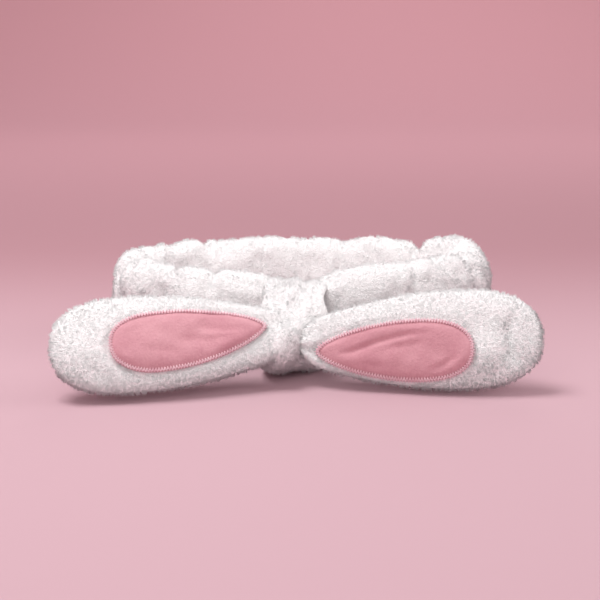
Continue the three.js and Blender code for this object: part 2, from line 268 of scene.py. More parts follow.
def build_blotch():
    inputs = {"Light": (1.0, 1.0, 1.0), "Dark": (0.8, 0.8, 0.8), "Scale": 60.0, "Fine Scale": 500.0}
    group, source, result = new_group("blotch", inputs, {"Color": "NodeSocketColor"})
    broad = noise_node(group, source.outputs["Scale"], 2)
    fine = noise_node(group, source.outputs["Fine Scale"], 3)
    blend = group.nodes.new("ShaderNodeMath")
    blend.operation = "MULTIPLY_ADD"
    blend.inputs[1].default_value = BROAD_SHARE
    group.links.new(broad.outputs["Fac"], blend.inputs[0])
    part = group.nodes.new("ShaderNodeMath")
    part.operation = "MULTIPLY"
    part.inputs[1].default_value = 1 - BROAD_SHARE
    group.links.new(fine.outputs["Fac"], part.inputs[0])
    group.links.new(part.outputs[0], blend.inputs[2])
    spread = group.nodes.new("ShaderNodeMapRange")
    spread.inputs["From Min"].default_value = BLOTCH_LOW
    spread.inputs["From Max"].default_value = BLOTCH_HIGH
    group.links.new(blend.outputs[0], spread.inputs["Value"])
    mix = group.nodes.new("ShaderNodeMix")
    mix.data_type = "RGBA"
    group.links.new(spread.outputs["Result"], mix.inputs["Factor"])
    group.links.new(source.outputs["Dark"], mix.inputs[6])
    group.links.new(source.outputs["Light"], mix.inputs[7])
    group.links.new(mix.outputs[2], result.inputs["Color"])
    return group


blotch_group = build_blotch()
print("blotch has", len(blotch_group.nodes), "nodes")


# %% Nap: the height of fine short fibres
def build_nap():
    inputs = {"Scale": 900.0, "Tuft Scale": 300.0}
    group, source, result = new_group("nap", inputs, {"Height": "NodeSocketFloat"})
    fibres = noise_node(group, source.outputs["Scale"], 2)
    tufts = noise_node(group, source.outputs["Tuft Scale"], 1)
    total = group.nodes.new("ShaderNodeMath")
    total.operation = "ADD"
    group.links.new(fibres.outputs["Fac"], total.inputs[0])
    group.links.new(tufts.outputs["Fac"], total.inputs[1])
    group.links.new(total.outputs[0], result.inputs["Height"])
    return group


nap_group = build_nap()
print("nap has", len(nap_group.nodes), "nodes")


# %% A cloth
CLOTH_SPECULAR = 0.15
SHEEN_ROUGHNESS = 0.6


def cloth(name, light, dark, scales, bump, roughness, sheen, sheen_tint=(1, 1, 1)):
    """Blotchy colour, napped surface, and a sheen from loose fibres. Scales: blotch, fine, nap and tufts."""
    material = bpy.data.materials.new(name)
    material.use_nodes = True
    tree = material.node_tree
    shader = tree.nodes["Principled BSDF"]
    shader.inputs["Roughness"].default_value = roughness
    shader.inputs["Specular IOR Level"].default_value = CLOTH_SPECULAR
    shader.inputs["Sheen Weight"].default_value = sheen
    shader.inputs["Sheen Roughness"].default_value = SHEEN_ROUGHNESS
    shader.inputs["Sheen Tint"].default_value = (*sheen_tint, 1)
    colour = tree.nodes.new("ShaderNodeGroup")
    colour.node_tree = blotch_group
    colour.inputs["Light"].default_value = (*light, 1)
    colour.inputs["Dark"].default_value = (*dark, 1)
    nap = tree.nodes.new("ShaderNodeGroup")
    nap.node_tree = nap_group
    colour.inputs["Scale"].default_value, colour.inputs["Fine Scale"].default_value = scales[:2]
    nap.inputs["Scale"].default_value, nap.inputs["Tuft Scale"].default_value = scales[2:]
    tree.links.new(colour.outputs["Color"], shader.inputs["Base Color"])
    relief = tree.nodes.new("ShaderNodeBump")
    relief.inputs["Strength"].default_value = 1.0
    relief.inputs["Distance"].default_value = bump
    tree.links.new(nap.outputs["Height"], relief.inputs["Height"])
    tree.links.new(relief.outputs["Normal"], shader.inputs["Normal"])
    return material


# %% The cloths of this headband
# The ground under the pile is painted a little darker than the pile itself: painted shade between the spikes,
# which cast no shadow.
fleece_ground_painted_shade = cloth(
    "fleece_ground_painted_shade", (0.94, 0.92, 0.915), (0.87, 0.84, 0.84), (60, 400, 1500, 500),
    bump=0.6 * MM, roughness=0.95, sheen=0.3)
fleece_pile = cloth(
    "fleece_pile", (0.985, 0.98, 0.975), (0.90, 0.88, 0.875), (70, 700, 2500, 900),
    bump=0.1 * MM, roughness=0.9, sheen=0.4)
velour = cloth(
    "pink_velour", (0.69, 0.355, 0.395), (0.60, 0.275, 0.32), (45, 700, 3200, 800),
    bump=0.25 * MM, roughness=0.8, sheen=0.4, sheen_tint=(1.0, 0.72, 0.76))
pink_thread = cloth(
    "pink_thread", (0.95, 0.70, 0.74), (0.80, 0.46, 0.53), (300, 1500, 4000, 1500),
    bump=0.1 * MM, roughness=0.55, sheen=0.2)
white_tape = cloth(
    "white_tape", (0.88, 0.86, 0.84), (0.78, 0.76, 0.74), (200, 1200, 2600, 900),
    bump=0.3 * MM, roughness=0.75, sheen=0.2)
filling = cloth(
    "fibre_filling", (0.985, 0.975, 0.97), (0.93, 0.92, 0.915), (60, 300, 700, 220),
    bump=1.2 * MM, roughness=1.0, sheen=0.5)
print(len(bpy.data.materials), "materials")

# %% [markdown]
# The fibres of the pile are so fine that light passes through them. Without this, a clump that stands
# against the light looks like a dark speck. A little subsurface scatter lets the light through.

# %% Light through the fibres
PILE_TRANSLUCENCY = 0.7
PILE_SCATTER = (1.0, 0.93, 0.93)
PILE_SCATTER_DEPTH = 1.0 * MM
pile_shader = fleece_pile.node_tree.nodes["Principled BSDF"]
pile_shader.inputs["Subsurface Weight"].default_value = PILE_TRANSLUCENCY
pile_shader.inputs["Subsurface Radius"].default_value = PILE_SCATTER
pile_shader.inputs["Subsurface Scale"].default_value = PILE_SCATTER_DEPTH
print("the pile lets", PILE_TRANSLUCENCY, "of the light in")


# %% [markdown]
# ## Skins
# A soft closed form is easiest to control as a grid of points: one direction runs along the piece, the
# other round it. The relief is added to the grid before it becomes a mesh, so each fold is real geometry,
# and the same grid later tells where the pile is rooted and which way it stands.

# %% Grids of points
def grid_faces(rows, columns, round_rows):
    """Quads of a grid whose columns close on themselves, and whose rows may too."""
    last = rows if round_rows else rows - 1
    i, j = np.meshgrid(np.arange(last), np.arange(columns), indexing="ij")
    next_i, next_j = (i + 1) % rows, (j + 1) % columns
    near, far = i * columns, next_i * columns
    return np.stack([near + j, near + next_j, far + next_j, far + j], -1).reshape(-1, 4)


def skin(name, grid, material, round_rows):
    """A closed mesh from a grid of points, turned outwards. Open rows end in a fan to their middle."""
    rows, columns, _ = grid.shape
    points = grid.reshape(-1, 3)
    faces = [tuple(face) for face in grid_faces(rows, columns, round_rows)]
    if not round_rows:
        points = np.vstack([points, grid[0].mean(0), grid[-1].mean(0)])
        first, last = rows * columns, rows * columns + 1
        base = (rows - 1) * columns
        for j in range(columns):
            k = (j + 1) % columns
            faces += [(first, k, j), (last, base + j, base + k)]
    piece = new_mesh(name, points, faces, material)
    if signed_volume(piece.data) < 0:
        piece.data.flip_normals()
    return piece


def signed_volume(mesh):
    """The volume inside a closed mesh, below zero when its faces look inwards."""
    mesh.calc_loop_triangles()
    corners = np.array([triangle.vertices[:] for triangle in mesh.loop_triangles])
    points = np.array([vertex.co[:] for vertex in mesh.vertices])
    a, b, c = (points[corners[:, k]] for k in range(3))
    return float(np.einsum("ij,ij->i", a, np.cross(b, c)).sum() / 6)


def grid_normals(grid, round_rows):
    """Outward unit normals of a closed grid, one at each point."""
    along = np.roll(grid, -1, 0) - np.roll(grid, 1, 0) if round_rows else np.gradient(grid, axis=0)
    around = np.roll(grid, -1, 1) - np.roll(grid, 1, 1)
    normals = np.cross(along, around)
    normals /= np.linalg.norm(normals, axis=2, keepdims=True) + TINY
    outward = ((grid - grid.mean(1, keepdims=True)) * normals).sum()
    return normals if outward > 0 else -normals


# %% Smooth random relief
RIPPLE_STRENGTH = 0.8


def ripples(points, size, seed, waves=28):
    """A smooth random value between about -1 and 1 at each point, with features of the given size."""
    chance = np.random.default_rng(seed)
    directions = chance.normal(size=(waves, 3))
    directions /= np.linalg.norm(directions, axis=1, keepdims=True)
    lengths = 2 * math.pi / (size * chance.uniform(0.75, 1.5, waves))
    phases = chance.uniform(0, 2 * math.pi, waves)
    total = np.zeros(points.shape[:-1])
    for direction, length, phase in zip(directions, lengths, phases):
        total += np.cos(points @ direction * length + phase)
    return total / math.sqrt(waves) * RIPPLE_STRENGTH


def bell(value, width):
    """1 at zero, and fading to 0 over a few widths."""
    return np.exp(-((value / width) ** 2))


def smooth_step(value, low, high):
    """0 below low, 1 above high, and a smooth rise between them."""
    share = np.clip((value - low) / (high - low), 0, 1)
    return share * share * (3 - 2 * share)


# %% [markdown]
# ## The pile
# Coral fleece is a ground cloth with a dense short pile, and it is the pile that one sees: soft streaks,
# little clumps and a fuzzy outline. Blender's hair is the usual way to make it, but hair has no mesh, and
# this pile has to bend and travel with its piece. So it is a mesh of slender spikes rooted on the skin.
# Neighbours lean together into clumps. Their shading normals nearly follow the skin, not the spike's own
# sides, so that they catch the light together as pile does.

# %% The pile's measures
PILE_LONG = 1.8 * MM
PILE_DROOP = 0.25
SPIKES_IN_CLUMP = 12
CLUMP_PULL = 0.42  # how far each tip moves towards the tip of its clump
TIP_LOWEST = 0.2 * MM  # no spike reaches into the floor
ROOT_DEPTH = 0.3 * MM  # a spike starts this far inside the skin
SPIKE_HALF_WIDTH = 0.2 * MM
SPIKE_ROUNDNESS = 0.3  # how far a spike's shading turns from the skin's towards its own sides
TIP_ROUNDNESS = 0.2


# %% Places for the spikes
def extended(values, round_rows):
    """The grid with its first column repeated at the end, and its first row too if the rows close."""
    values = np.concatenate([values, values[:, :1]], 1)
    return np.concatenate([values, values[:1]], 0) if round_rows else values


def scatter(grid, normals, density, count, chance, round_rows):
    """Random places on the grid, evenly by area times density, with the normal at each."""
    points, upright = extended(grid, round_rows), extended(normals, round_rows)
    wanted = extended(density[..., None], round_rows)[..., 0]
    side_a = points[1:, :-1] - points[:-1, :-1]
    side_b = points[:-1, 1:] - points[:-1, :-1]
    weight = np.linalg.norm(np.cross(side_a, side_b), axis=2) * wanted[:-1, :-1]
    total = np.cumsum(weight.ravel())
    cells = np.searchsorted(total, chance.random(count) * total[-1])
    i, j = np.divmod(cells, weight.shape[1])
    a, b = chance.random((2, count, 1))

    def between(values):
        low = values[i, j] * (1 - b) + values[i, j + 1] * b
        high = values[i + 1, j] * (1 - b) + values[i + 1, j + 1] * b
        return low * (1 - a) + high * a

    root, normal = between(points), between(upright)
    return root, normal / (np.linalg.norm(normal, axis=1, keepdims=True) + TINY)


# %% Growing the pile
def lean_field(points, seed):
    """A smooth random direction at each point."""
    return np.stack([ripples(points, 11 * MM, seed + k, 12) for k in range(3)], -1)


def grow_pile(name, grid, normals, density, count, seed, round_rows=False):
    """A mesh of leaning spikes, clumped as brushed fleece is. Returns the piece."""
    chance = np.random.default_rng(seed)
    root, normal = scatter(grid, normals, density, count, chance, round_rows)
    clumps, clump_normal = scatter(grid, normals, density, count // SPIKES_IN_CLUMP, chance, round_rows)
    tree = KDTree(len(clumps))
    for index, place in enumerate(clumps):
        tree.insert(place, index)
    tree.balance()
    nearest = np.array([tree.find(place)[1] for place in root])
    lean = lean_field(clumps, seed) * 0.5 + chance.normal(size=clumps.shape) * 0.22
    lean[:, 2] -= PILE_DROOP
    clump_long = PILE_LONG * chance.uniform(0.8, 1.15, (len(clumps), 1))
    clump_tip = clumps + clump_long * (clump_normal + lean * 0.8)
    own = chance.normal(size=root.shape) * 0.25
    own_long = PILE_LONG * chance.uniform(0.7, 1.1, (count, 1))
    own_tip = root + own_long * (normal + lean[nearest] * 0.8 + own)
    tip = own_tip + (clump_tip[nearest] - own_tip) * CLUMP_PULL
    standing = np.einsum("ij,ij->i", tip - root, normal)[:, None]
    tip += normal * np.maximum(0, 0.3 * PILE_LONG - standing)
    stem = tip - root
    stem_long = np.linalg.norm(stem, axis=1, keepdims=True)
    tip = root + stem * np.minimum(1, 1.25 * PILE_LONG / stem_long)
    tip[:, 2] = np.maximum(tip[:, 2], TIP_LOWEST)
    return spikes(name, root, tip, normal)


# %% The spikes' mesh
def spikes(name, root, tip, normal):
    """Three-sided spikes from roots to tips, shaded by the skin's normal."""
    count = len(root)
    stem = tip - root
    direction = stem / (np.linalg.norm(stem, axis=1, keepdims=True) + TINY)
    across = np.cross(direction, (0.577, 0.577, 0.577))
    across /= np.linalg.norm(across, axis=1, keepdims=True) + TINY
    other = np.cross(direction, across)
    points = np.empty((count, 4, 3))
    shading = np.empty((count, 4, 3))
    for k in range(3):
        turn = 2 * math.pi * k / 3
        sideways = across * math.cos(turn) + other * math.sin(turn)
        points[:, k] = root + SPIKE_HALF_WIDTH * sideways
        shading[:, k] = normal + SPIKE_ROUNDNESS * sideways
    shading[:, 3] = normal + TIP_ROUNDNESS * direction
    points[:, :3] -= (normal * ROOT_DEPTH)[:, None]
    points[:, 3] = tip
    first = np.arange(count)[:, None] * 4
    faces = np.concatenate([first + np.array([k, (k + 1) % 3, 3]) for k in range(3)], 1).reshape(-1, 3)
    mesh = bpy.data.meshes.new(name)
    mesh.vertices.add(count * 4)
    mesh.vertices.foreach_set("co", points.astype(np.float32).ravel())
    mesh.loops.add(faces.size)
    mesh.loops.foreach_set("vertex_index", faces.astype(np.int32).ravel())
    mesh.polygons.add(len(faces))
    mesh.polygons.foreach_set("loop_start", np.arange(0, faces.size, 3, dtype=np.int32))
    mesh.update(calc_edges=True)
    mesh.polygons.foreach_set("use_smooth", [True] * len(faces))
    lay_out_spikes(mesh, count)
    shading /= np.linalg.norm(shading, axis=2, keepdims=True)
    mesh.normals_split_custom_set_from_vertices(shading.reshape(-1, 3).tolist())
    mesh.materials.append(fleece_pile)
    piece = bpy.data.objects.new(name, mesh)
    bpy.context.scene.collection.objects.link(piece)
    # The spikes cast no shadow, so the shade between them is painted into the ground's colour.
    piece.visible_shadow = False
    print(name, count, "spikes")
    return piece


def lay_out_spikes(mesh, count):
    """A texture layout with one small square for each spike, root at the bottom and tip at the top."""
    side = math.ceil(math.sqrt(count))
    column, row = np.arange(count) % side, np.arange(count) // side
    corners = np.array([(0.15, 0.15), (0.85, 0.15), (0.5, 0.85)])
    layout = (np.stack([column, row], -1)[:, None, None] + corners[None, None]) / side
    layout = np.repeat(layout, 3, axis=1)
    mesh.uv_layers.new(name="OFBake").uv.foreach_set("vector", layout.astype(np.float32).ravel())


# %% [markdown]
# ## The band
# The casing is cut about half as long again as the elastic inside it, so at rest it ruches: puffs of fleece
# with pinched folds between them, at uneven distances. One way to get this is to shrink a cloth tube in a
# simulation, but the folds then fall where they like. Here each fold is laid out instead: a groove across
# the tube with its own depth, width and slant, over a tube that swells a little between them. The tube
# bulges at its right rear corner, and the knot squeezes it in at the front. Angles go round the ring from
# its right end, over the back.

# %% The line of the band
RING_HALF_WIDTH = 96 * MM
RING_HALF_DEPTH = 45 * MM
LOBE_PUSH = 2.6 * MM
LOBE_AT = math.radians(27)
LOBE_SPREAD = math.radians(25)
KNOT_CENTRE_X = knot_middle.x - ring_centre.x
CINCH_REACH = 13.5 * MM


def squeezed(x, y):
    """1 where the knot squeezes the band, and 0 away from it."""
    return np.where(y < 0, 1 / (1 + ((x - KNOT_CENTRE_X) / CINCH_REACH) ** 8), 0)


def ring_line(t):
    """The tube's middle line at angle t, from the ring's centre, and its outward direction."""
    def place(angle):
        away = angle - LOBE_AT
        push = LOBE_PUSH * bell(np.arctan2(np.sin(away), np.cos(away)), LOBE_SPREAD)
        return np.cos(angle) * (RING_HALF_WIDTH + push), np.sin(angle) * (RING_HALF_DEPTH + push)

    x, y = place(t)
    next_x, next_y = place(t + 0.001)
    along = np.hypot(next_x - x, next_y - y)
    return x, y, (next_y - y) / along, -(next_x - x) / along


def power(value, exponent):
    """The value's size raised to the exponent, with its sign kept."""
    return np.sign(value) * np.abs(value) ** exponent


BAND_ROWS, BAND_COLUMNS = 560, 72
turn = np.linspace(0, 2 * math.pi, BAND_ROWS, endpoint=False)
line_x, line_y, out_x, out_y = ring_line(turn)
steps = np.hypot(np.roll(line_x, -1) - line_x, np.roll(line_y, -1) - line_y)
along_band = np.concatenate([[0], np.cumsum(steps)[:-1]])
band_length = steps.sum()
print("the band is", round(band_length / MM), "mm round its middle line")

# %% Where the gathers fall
# The deepest pinches. Each has its angle round the ring in degrees, then its depth, its half width and its
# slant in mm. The slant is how far the fold's top leans along the band.
DEEP_GATHERS = (
    (40, 6.5, 4.0, 5), (60, 2.8, 3.2, 2), (76, 3.2, 3.2, -3), (86, 2.8, 2.8, 1), (106, 2.2, 3.6, 3),
    (128, 4.0, 3.2, -2), (142, 2.8, 3.0, 2), (163, 3.0, 3.4, 3), (197, 3.2, 3.4, -3), (222, 3.8, 3.2, 2),
    (241, 3.0, 3.0, -2), (306, 1.8, 2.8, 3), (322, 2.6, 3.0, -4), (338, 2.0, 4.0, 3), (356, 1.2, 4.5, -3),
    (24, 1.6, 3.6, -6),
)
SMALL_GATHERS = 30
fold_chance = np.random.default_rng(7)


def at_angle(degrees):
    """How far along the band an angle lies."""
    return float(np.interp(math.radians(degrees), turn, along_band))


gathers = [(at_angle(a), depth * MM, width * MM, slant * MM) for a, depth, width, slant in DEEP_GATHERS]
for number in range(SMALL_GATHERS):
    place = band_length * (number + fold_chance.uniform(0.1, 0.9)) / SMALL_GATHERS
    depth = fold_chance.uniform(0.4, 1.3) * MM
    gathers.append((place, depth, fold_chance.uniform(1.8, 3.2) * MM, fold_chance.normal() * 3 * MM))
print(len(gathers), "gathers")

# %% The plain tube, before it is ruched
TUBE_HALF_THICK = 13.5 * MM
TUBE_HALF_HIGH = 25 * MM
TUBE_SQUARENESS = 2.15
PILE_ROOM = 1.4 * MM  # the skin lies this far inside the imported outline, and the pile fills it
LOBE_RISE = 7.5 * MM  # the bulging corner stands a little higher too
LOBE_RISE_AT, LOBE_RISE_SPREAD = 19, 15
FRONT_RISE = 4.6 * MM  # and so does the front run that leads up to it
FRONT_RISE_AT, FRONT_RISE_SPREAD = 322, 30
CINCH_HEIGHT = 0.32
CINCH_THICKNESS = 0.16
CINCH_DROP = 1.5 * MM
section = np.linspace(0, 2 * math.pi, BAND_COLUMNS, endpoint=False)
pinch = squeezed(line_x, line_y)[:, None]
thick = TUBE_HALF_THICK * (1 - CINCH_THICKNESS * pinch) - PILE_ROOM
high = TUBE_HALF_HIGH * (1 - CINCH_HEIGHT * pinch) - PILE_ROOM
high = high + LOBE_RISE * bell(np.degrees(turn) - LOBE_RISE_AT, LOBE_RISE_SPREAD)[:, None]
high = high + FRONT_RISE * bell(np.degrees(turn) - FRONT_RISE_AT, FRONT_RISE_SPREAD)[:, None]
wide = power(np.cos(section), 2 / TUBE_SQUARENESS)[None, :]
tall = power(np.sin(section), 2 / TUBE_SQUARENESS)[None, :]


def ring_grid(thickness, height):
    """Points of a tube of the given half sizes round the ring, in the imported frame."""
    reach = wide * thickness
    return np.stack([
        ring_centre.x + line_x[:, None] + out_x[:, None] * reach,
        ring_centre.y + line_y[:, None] + out_y[:, None] * reach,
        ring_centre.z - CINCH_DROP * pinch + tall * height,
    ], -1)


plain_band = ring_grid(thick, high)
print("plain tube of", plain_band.shape[0], "by", plain_band.shape[1], "points")

# %% The grooves of the gathers
GROOVE_WANDER = 1.2 * MM  # a fold's line isn't quite straight
INNER_EASE = 0.45  # the folds are shallower on the wearer's side
grooves = np.zeros(plain_band.shape[:2])
for index, (place, depth, half_width, slant) in enumerate(gathers):
    shift = along_band[:, None] - place - slant * np.sin(section)[None, :]
    shift = shift - GROOVE_WANDER * np.sin(3 * section + index)[None, :]
    shift = (shift + band_length / 2) % band_length - band_length / 2
    fade = 0.6 + 0.4 * np.sin(section * (1 + index % 2) + index * 2.4)[None, :]
    across_fold = bell(shift, half_width)
    grooves = np.maximum(grooves, depth * across_fold * fade + 0.5 * grooves * across_fold)
grooves = grooves * (1 - INNER_EASE * smooth_step(-np.cos(section), 0.1, 0.8))[None, :]
print("deepest groove", round(grooves.max() / MM, 1), "mm")

# %% The band's skin
PUFF = 1.9 * MM
BROAD_LUMPS = 1.5 * MM
SMALL_LUMPS = 0.35 * MM
KNOT_PLEATS = 0.5 * MM  # little folds that run along the band into the knot
KNOT_CALM = 0.6  # the puffs are smaller beside the knot
FLOOR_CLEAR = 1.2 * MM
FLOOR_RELIEF = 0.4 * MM
swell = PUFF + BROAD_LUMPS * ripples(plain_band, 30 * MM, 11) + SMALL_LUMPS * ripples(plain_band, 9 * MM, 12)
near_knot = (bell(line_x - KNOT_CENTRE_X, 30 * MM) * (line_y < 0))[:, None]
pleats = KNOT_PLEATS * np.cos(section * 9 + 2 * ripples(plain_band, 30 * MM, 13)) * near_knot
relief = swell * (1 - KNOT_CALM * near_knot) + pleats - grooves
band_grid = plain_band + grid_normals(plain_band, True) * relief[..., None]
lowest = FLOOR_CLEAR + FLOOR_RELIEF * (1 + ripples(plain_band, 12 * MM, 14))
band_grid[..., 2] = np.maximum(band_grid[..., 2], lowest)
band_normals = grid_normals(band_grid, True)
band_skin = skin("plush_band", band_grid, fleece_ground_painted_shade, True)
print("plush_band", len(band_skin.data.polygons), "faces")

# %% The band's pile, thinner where the wearer's head and the floor press it
BAND_SPIKES = 64000
UNDER_KNOT_HALF = 12 * MM
inner_share = smooth_step(-np.cos(section), 0.2, 0.8)[None, :]
low_share = smooth_step(-np.sin(section), 0.75, 0.95)[None, :]
under_knot = (np.abs(line_x - KNOT_CENTRE_X) < UNDER_KNOT_HALF) & (line_y < 0)
band_density = (1 - 0.4 * inner_share) * (1 - 0.75 * low_share) * np.where(under_knot, 0.02, 1)[:, None]
band_pile = grow_pile("plush_band_pile", band_grid, band_normals, band_density, BAND_SPIKES, 21, True)

# %% [markdown]
# The elastic inside is a flat ring, held a little wavy by the casing. It isn't seen in use, but it is what
# the band stretches by. As the head goes in, the rear of the band moves back and the two sides lengthen.

# %% The elastic
ELASTIC_HALF_HIGH = 10 * MM
ELASTIC_THICK = 1.6 * MM
FLUTTER = 0.35 * MM
FLUTTER_WAVES = 90
ELASTIC_CORNERS = ((0, -1), (1, -1), (1, 0), (1, 1), (0, 1), (0, 0))
elastic_low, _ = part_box("front_elastic")
elastic_near = elastic_low.y - (ring_centre.y - RING_HALF_DEPTH)
flutter = FLUTTER * np.sin(along_band * 2 * math.pi / (band_length / FLUTTER_WAVES))
elastic_rows = []
for out, up in ELASTIC_CORNERS:
    reach = elastic_near + out * ELASTIC_THICK + flutter
    elastic_rows.append(np.stack([
        ring_centre.x + line_x + out_x * reach,
        ring_centre.y + line_y + out_y * reach,
        ring_centre.z - CINCH_DROP * squeezed(line_x, line_y) + up * ELASTIC_HALF_HIGH,
    ], -1))
elastic_cloth = cloth(
    "woven_elastic", (0.86, 0.84, 0.80), (0.74, 0.72, 0.69), (90, 900, 1800, 600),
    bump=0.3 * MM, roughness=0.7, sheen=0.1)
elastic_ring = skin("elastic_ring", np.stack(elastic_rows, 1), elastic_cloth, True)
print("elastic at", round(elastic_near / MM, 2), "mm from the middle line")

# %% The band's pieces take the place of the imported casing and elastic
for piece in (band_skin, band_pile, elastic_ring):
    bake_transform(piece)
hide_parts("front_casing", "rear_casing")
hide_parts("front_elastic", "rear_elastic", "left_side_elastic", "right_side_elastic")


# %% [markdown]
# ## The knot
# A loop of the same fleece is wound once round the front of the band. It squeezes the band, bellies out
# between its two edges, and its cloth lies in soft pleats that run round with it. On the left its front
# swells over the root of the ear. It is a ring again: round the loop one way, round its plump section the
# other, with the pleats as grooves that follow the loop.

# %% The knot's loop and its section
LOOP_ROWS, LOOP_COLUMNS = 220, 64
LOOP_SQUARENESS = 3.0
KNOT_SPREAD = 2.5 * MM
KNOT_TOP_ROOM = 0.3 * MM
KNOT_SIDE_ROOM = 0.6 * MM
loop = np.linspace(0, 2 * math.pi, LOOP_ROWS, endpoint=False)[:, None]
ring_section = np.linspace(0, 2 * math.pi, LOOP_COLUMNS, endpoint=False)[None, :]
knot_half_deep = (knot_high.y - knot_low.y) / 2 - PILE_ROOM
knot_half_high = (knot_high.z - knot_low.z) / 2 - KNOT_TOP_ROOM
knot_half_wide = (knot_high.x - knot_low.x) / 2 + KNOT_SPREAD
side_wave = 1 + 0.06 * np.sin(2 * loop + 0.9) + 0.04 * np.sin(5 * loop)
across_knot = np.cos(ring_section) * side_wave * (knot_half_wide - KNOT_SIDE_ROOM)
outer_share = (1 + np.sin(ring_section)) / 2
front_share = smooth_step(-np.cos(loop), 0.1, 0.95)
top_share = smooth_step(np.sin(loop), 0.1, 0.9)


def loop_outline(margin):
    """How far back and how far up the loop lies, pushed out by the margin."""
    deep = power(np.cos(loop), 2 / LOOP_SQUARENESS) * (knot_half_deep + margin)
    tall_here = power(np.sin(loop), 2 / LOOP_SQUARENESS) * (knot_half_high + margin)
    return deep, tall_here


print("the loop is", round(2 * knot_half_wide / MM, 1), "mm wide")

# %% The knot's pleats
# Where each crosses the knot, its slant, depth and half width, in mm, and how much it keeps to the top.
PLEATS = ((4.6, 2.0, 3.2, 2.7, 1.0), (-7.5, -2.5, 1.2, 3.0, 0.5), (11.5, 1.5, 1.0, 2.4, 0.4))
pleat_depth = np.zeros((LOOP_ROWS, LOOP_COLUMNS))
for index, (x, slant, depth, half_width, on_top) in enumerate(PLEATS):
    offset = across_knot / MM - x - slant * np.cos(loop + index)
    strength = (1 - on_top) * 0.5 + on_top * top_share + 0.25
    pleat_depth += depth * MM * bell(offset, half_width) * np.minimum(1, strength)
print("deepest pleat", round(pleat_depth.max() / MM, 1), "mm")

# %% The knot's skin
LOOP_INSIDE = 5.2 * MM
KNOT_BELLY = 1.2 * MM
SWELL_AT = -6.0 * MM
SWELL_HALF_WIDTH = 13.5 * MM
SWELL_BELOW = 3 * MM  # it is highest this far below the knot's middle
SWELL_HALF_HEIGHT = 17 * MM
SWELL_OUT = 24 * MM
SWELL_LEAN = 5.0 * MM
KNOT_LUMPS = 0.7 * MM
KNOT_SMALL_LUMPS = 0.2 * MM
margin = -LOOP_INSIDE + outer_share * (LOOP_INSIDE + KNOT_BELLY) - pleat_depth * outer_share
deep, tall_here = loop_outline(margin)
over_root = np.exp(-(((across_knot - SWELL_AT + knot_middle.x) / SWELL_HALF_WIDTH) ** 2) * 1.1)
root_height = bell(tall_here + SWELL_BELOW, SWELL_HALF_HEIGHT)
deep = deep - SWELL_OUT * over_root * root_height * front_share * outer_share
knot_grid = np.stack([
    np.broadcast_to(knot_middle.x + across_knot - SWELL_LEAN * over_root * front_share, deep.shape),
    knot_middle.y + deep,
    knot_middle.z + tall_here,
], -1)
knot_normals = grid_normals(knot_grid, True)
knot_relief = KNOT_LUMPS * ripples(knot_grid, 18 * MM, 31) + KNOT_SMALL_LUMPS * ripples(knot_grid, 7 * MM, 32)
knot_grid += knot_normals * (knot_relief * outer_share)[..., None]
knot_grid[..., 2] = np.maximum(knot_grid[..., 2], FLOOR_CLEAR)
knot_normals = grid_normals(knot_grid, True)
knot_skin = skin("plush_knot", knot_grid, fleece_ground_painted_shade, True)
print("plush_knot", len(knot_skin.data.polygons), "faces")

# %% The knot's pile, on its outside only
KNOT_SPIKES = 12000
knot_density = np.broadcast_to(smooth_step(outer_share, 0.35, 0.7), deep.shape)
knot_pile = grow_pile("plush_knot_pile", knot_grid, knot_normals, knot_density, KNOT_SPIKES, 33, True)
for piece in (knot_skin, knot_pile):
    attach(piece, "band_front")
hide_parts("knot_wrap")

# %% [markdown]
# ## The bundle in the knot
# In front of the band the loop is filled with gathered fleece, and the two ends of this bundle show at the
# knot's sides. It is a stubby bolster: a rounded box whose ends bulge out and are drawn into small tucks
# towards their middle.

# %% The bundle's skin
BUNDLE_ROWS, BUNDLE_COLUMNS = 60, 64
BUNDLE_SQUARENESS = 0.75  # 1 is round, and less is squarer
BUNDLE_BULGE = 5.0 * MM
BUNDLE_ROOM = 1.6 * MM  # it presses a little into the loop around it
TUCK_DEPTH = 0.9 * MM
TUCK_COUNT = 9
core_low, core_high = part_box("knot_core")
core_middle, core_half = (core_low + core_high) / 2, (core_high - core_low) / 2
bundle_turn = (np.linspace(-1, 1, BUNDLE_ROWS) * (math.pi / 2 - 0.03))[:, None]
bundle_section = np.linspace(0, 2 * math.pi, BUNDLE_COLUMNS, endpoint=False)[None, :]
sideways = np.sin(bundle_turn)
roundness = np.cos(bundle_turn) ** 0.45
tuck_turn = TUCK_COUNT * bundle_section + 3 * np.sin(2 * bundle_section)
tucks = TUCK_DEPTH * np.cos(tuck_turn) * np.abs(sideways) ** 3 * roundness
bundle_deep = roundness * power(np.cos(bundle_section), BUNDLE_SQUARENESS)
bundle_tall = roundness * power(np.sin(bundle_section), BUNDLE_SQUARENESS)
bundle_grid = np.stack([
    core_middle.x + sideways * (core_half.x + BUNDLE_BULGE + tucks),
    core_middle.y + bundle_deep * (core_half.y + BUNDLE_ROOM),
    core_middle.z + bundle_tall * (core_half.z + BUNDLE_ROOM),
], -1)
bundle_skin = skin("plush_bundle", bundle_grid, fleece_ground_painted_shade, False)
print("bundle from", in_mm(core_low), "to", in_mm(core_high))

# %% The bundle's pile, thickest at its two ends
BUNDLE_SPIKES = 5000
bundle_normals = grid_normals(bundle_grid, False)
bundle_density = np.broadcast_to(np.abs(sideways) ** 3, bundle_grid.shape[:2])
bundle_pile = grow_pile("plush_bundle_pile", bundle_grid, bundle_normals, bundle_density, BUNDLE_SPIKES, 35)
for piece in (bundle_skin, bundle_pile):
    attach(piece, "band_front")
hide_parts("knot_core")


# %% [markdown]
# ## The ears
# Each ear is a stuffed teardrop: narrow and gathered where it is sewn to the knot, broad near its round
# tip, plump in the middle and thin at the seam round its edge. A point of it is given by u along it from
# the root, w across it and n out of its face. The face dips where the patch is sewn down.

